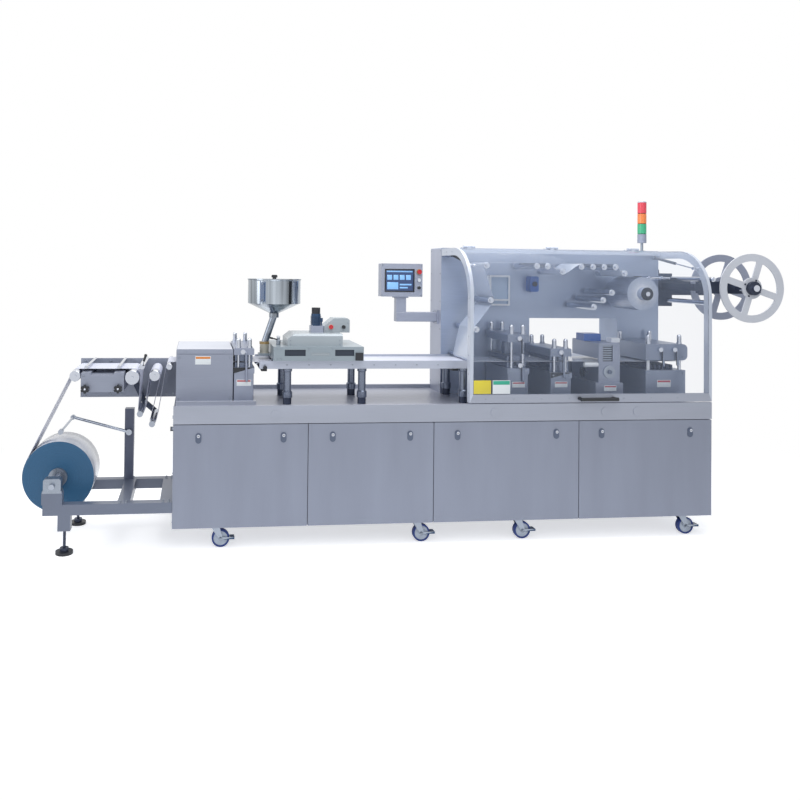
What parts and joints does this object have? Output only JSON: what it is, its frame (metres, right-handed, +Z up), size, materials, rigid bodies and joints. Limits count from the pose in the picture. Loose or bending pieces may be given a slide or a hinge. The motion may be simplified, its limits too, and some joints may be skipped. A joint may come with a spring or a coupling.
{
  "type": "flat-plate blister packing line for capsules",
  "caption": "Floor-standing capsule packing line on casters: film unwinder, heating box, forming press, hopper feeder, clear curved hood over the presses, take-up reel and signal lamp.",
  "frame": {"origin": "on the floor, under the middle of the machine's outline", "axes": "+X along the line from the film unwinder to the take-up reel, +Y from the operator's side to the rear, +Z up"},
  "size_m": [4.5838, 0.844, 2.063],
  "materials": {
    "brushed_stainless": "brushed stainless sheet, satin",
    "polished_stainless": "polished stainless, soft mirror",
    "chromed_steel": "chromed, bright",
    "zinc_steel": "zinc plated",
    "roller_steel": "ground steel",
    "dark_steel": "blackened steel",
    "frame_paint": "grey enamel, satin",
    "grey_paint": "light grey enamel",
    "white_paint": "white enamel, gloss",
    "black_paint": "black enamel",
    "motor_blue": "blue enamel",
    "anodised_aluminium": "milled and anodised",
    "foil_aluminium": "rolled foil, bright",
    "clear_film": "clear forming film",
    "pale_plastic": "cream plastic",
    "clear_acrylic": "clear acrylic sheet",
    "lamp_plastic": "coloured lamp segments",
    "reel_plastic": "grey moulded plastic",
    "caster_rubber": "dark blue rubber tread on a grey hub"
  },
  "bodies": {
    "machine": {"cabinet_body": "brushed_stainless", "coding_tower": "anodised_aluminium", "control_panel": "grey_paint", "cooling_press": "anodised_aluminium", "cutting_press": "anodised_aluminium", "dancer_arm": "dark_steel", "fascia_fittings": "brushed_stainless", "feeder_body": "brushed_stainless", "feeder_drive": "motor_blue", "feeder_switch_box": "grey_paint", "feeding_track": "anodised_aluminium", "forming_film": "clear_film", "forming_station": "anodised_aluminium", "front_panels": "brushed_stainless", "heater_box": "brushed_stainless", "hood_housing": "brushed_stainless", "hood_rollers": "roller_steel", "hopper": "polished_stainless", "hopper_chute": "pale_plastic", "hopper_lid": "polished_stainless", "infeed_plate": "anodised_aluminium", "infeed_rollers": "roller_steel", "levelling_feet": "zinc_steel", "panel_arm": "grey_paint", "panel_latches": "chromed_steel", "rear_panels": "brushed_stainless", "reel_bracket": "dark_steel", "sealing_foil": "foil_aluminium", "sealing_press": "anodised_aluminium", "splice_table": "anodised_aluminium", "tower_lamp": "lamp_plastic", "unwinder_frame": "frame_paint"},
    "film_reel": {"film_roll": "clear_film", "roll_shaft": "zinc_steel"},
    "roll_follower": {"roll_follower": "dark_steel"},
    "hood": {"hood_frame": "white_paint", "hood_window": "clear_acrylic"},
    "foil_reel": {"foil_roll": "foil_aluminium"},
    "take_up_reel": {"end_reel": "reel_plastic"},
    "strut_tube_left": {"gas_strut_tube_left": "black_paint"},
    "strut_rod_left": {"gas_strut_rod_left": "chromed_steel"},
    "strut_tube_right": {"gas_strut_tube_right": "black_paint"},
    "strut_rod_right": {"gas_strut_rod_right": "chromed_steel"},
    "caster_front_1": {"caster_fork_front_1": "zinc_steel"},
    "wheel_front_1": {"caster_wheel_front_1": "caster_rubber"},
    "caster_front_2": {"caster_fork_front_2": "zinc_steel"},
    "wheel_front_2": {"caster_wheel_front_2": "caster_rubber"},
    "caster_front_3": {"caster_fork_front_3": "zinc_steel"},
    "wheel_front_3": {"caster_wheel_front_3": "caster_rubber"},
    "caster_front_4": {"caster_fork_front_4": "zinc_steel"},
    "wheel_front_4": {"caster_wheel_front_4": "caster_rubber"},
    "caster_rear_1": {"caster_fork_rear_1": "zinc_steel"},
    "wheel_rear_1": {"caster_wheel_rear_1": "caster_rubber"},
    "caster_rear_2": {"caster_fork_rear_2": "zinc_steel"},
    "wheel_rear_2": {"caster_wheel_rear_2": "caster_rubber"},
    "caster_rear_3": {"caster_fork_rear_3": "zinc_steel"},
    "wheel_rear_3": {"caster_wheel_rear_3": "caster_rubber"},
    "caster_rear_4": {"caster_fork_rear_4": "zinc_steel"},
    "wheel_rear_4": {"caster_wheel_rear_4": "caster_rubber"}
  },
  "joints": [
    {"name": "film_roll_spin", "type": "hinge", "parent": "machine", "child": "film_reel", "pos_m": [-2.092, -0.179, 0.373], "axis": [0, 1, 0], "continuous": true},
    {"name": "roll_follower_swing", "type": "hinge", "parent": "machine", "child": "roll_follower", "pos_m": [-1.7245, 0.118, 0.562], "axis": [0, 1, 0], "range_deg": [-8, 30]},
    {"name": "hood_hinge", "type": "hinge", "parent": "machine", "child": "hood", "pos_m": [1.002, 0.164, 1.727], "axis": [-1, 0, 0], "range_deg": [0, 60]},
    {"name": "foil_roll_spin", "type": "hinge", "parent": "machine", "child": "foil_reel", "pos_m": [1.43, -0.179, 1.441], "axis": [0, 1, 0], "continuous": true},
    {"name": "take_up_reel_spin", "type": "hinge", "parent": "machine", "child": "take_up_reel", "pos_m": [2.079, -0.289, 1.484], "axis": [0, 1, 0], "continuous": true},
    {"name": "gas_strut_swing_left", "type": "hinge", "parent": "machine", "child": "strut_tube_left", "pos_m": [0.304, 0.121, 1.672], "axis": [-1, 0, 0], "range_deg": [-1, 65]},
    {"name": "gas_strut_slide_left", "type": "slide", "parent": "strut_tube_left", "child": "strut_rod_left", "axis": [0, -0.9846, -0.1749], "range_m": [-0.001, 0.0689]},
    {"name": "gas_strut_swing_right", "type": "hinge", "parent": "machine", "child": "strut_tube_right", "pos_m": [1.7, 0.121, 1.672], "axis": [-1, 0, 0], "range_deg": [-1, 65]},
    {"name": "gas_strut_slide_right", "type": "slide", "parent": "strut_tube_right", "child": "strut_rod_right", "axis": [0, -0.9846, -0.1749], "range_m": [-0.001, 0.0689]},
    {"name": "caster_swivel_front_1", "type": "hinge", "parent": "machine", "child": "caster_front_1", "pos_m": [-1.206, -0.299, 0.126], "axis": [0, 0, 1], "continuous": true},
    {"name": "wheel_spin_front_1", "type": "hinge", "parent": "caster_front_1", "child": "wheel_front_1", "pos_m": [-1.174, -0.299, 0.05], "axis": [0, 1, 0], "continuous": true},
    {"name": "caster_swivel_front_2", "type": "hinge", "parent": "machine", "child": "caster_front_2", "pos_m": [-0.046, -0.299, 0.126], "axis": [0, 0, 1], "continuous": true},
    {"name": "wheel_spin_front_2", "type": "hinge", "parent": "caster_front_2", "child": "wheel_front_2", "pos_m": [-0.014, -0.299, 0.05], "axis": [0, 1, 0], "continuous": true},
    {"name": "caster_swivel_front_3", "type": "hinge", "parent": "machine", "child": "caster_front_3", "pos_m": [0.564, -0.299, 0.126], "axis": [0, 0, 1], "continuous": true},
    {"name": "wheel_spin_front_3", "type": "hinge", "parent": "caster_front_3", "child": "wheel_front_3", "pos_m": [0.596, -0.299, 0.05], "axis": [0, 1, 0], "continuous": true},
    {"name": "caster_swivel_front_4", "type": "hinge", "parent": "machine", "child": "caster_front_4", "pos_m": [1.594, -0.299, 0.126], "axis": [0, 0, 1], "continuous": true},
    {"name": "wheel_spin_front_4", "type": "hinge", "parent": "caster_front_4", "child": "wheel_front_4", "pos_m": [1.626, -0.299, 0.05], "axis": [0, 1, 0], "continuous": true},
    {"name": "caster_swivel_rear_1", "type": "hinge", "parent": "machine", "child": "caster_rear_1", "pos_m": [-1.206, 0.341, 0.126], "axis": [0, 0, 1], "continuous": true},
    {"name": "wheel_spin_rear_1", "type": "hinge", "parent": "caster_rear_1", "child": "wheel_rear_1", "pos_m": [-1.174, 0.341, 0.05], "axis": [0, 1, 0], "continuous": true},
    {"name": "caster_swivel_rear_2", "type": "hinge", "parent": "machine", "child": "caster_rear_2", "pos_m": [-0.046, 0.341, 0.126], "axis": [0, 0, 1], "continuous": true},
    {"name": "wheel_spin_rear_2", "type": "hinge", "parent": "caster_rear_2", "child": "wheel_rear_2", "pos_m": [-0.014, 0.341, 0.05], "axis": [0, 1, 0], "continuous": true},
    {"name": "caster_swivel_rear_3", "type": "hinge", "parent": "machine", "child": "caster_rear_3", "pos_m": [0.564, 0.341, 0.126], "axis": [0, 0, 1], "continuous": true},
    {"name": "wheel_spin_rear_3", "type": "hinge", "parent": "caster_rear_3", "child": "wheel_rear_3", "pos_m": [0.596, 0.341, 0.05], "axis": [0, 1, 0], "continuous": true},
    {"name": "caster_swivel_rear_4", "type": "hinge", "parent": "machine", "child": "caster_rear_4", "pos_m": [1.594, 0.341, 0.126], "axis": [0, 0, 1], "continuous": true},
    {"name": "wheel_spin_rear_4", "type": "hinge", "parent": "caster_rear_4", "child": "wheel_rear_4", "pos_m": [1.626, 0.341, 0.05], "axis": [0, 1, 0], "continuous": true}
  ],
  "couplings": [
    {"joint": "gas_strut_swing_left", "follows": "hood_hinge", "ratio": 1.0443},
    {"joint": "gas_strut_slide_left", "follows": "hood_hinge", "m_per_rad": 0.063852},
    {"joint": "gas_strut_swing_right", "follows": "hood_hinge", "ratio": 1.0443},
    {"joint": "gas_strut_slide_right", "follows": "hood_hinge", "m_per_rad": 0.063852}
  ]
}
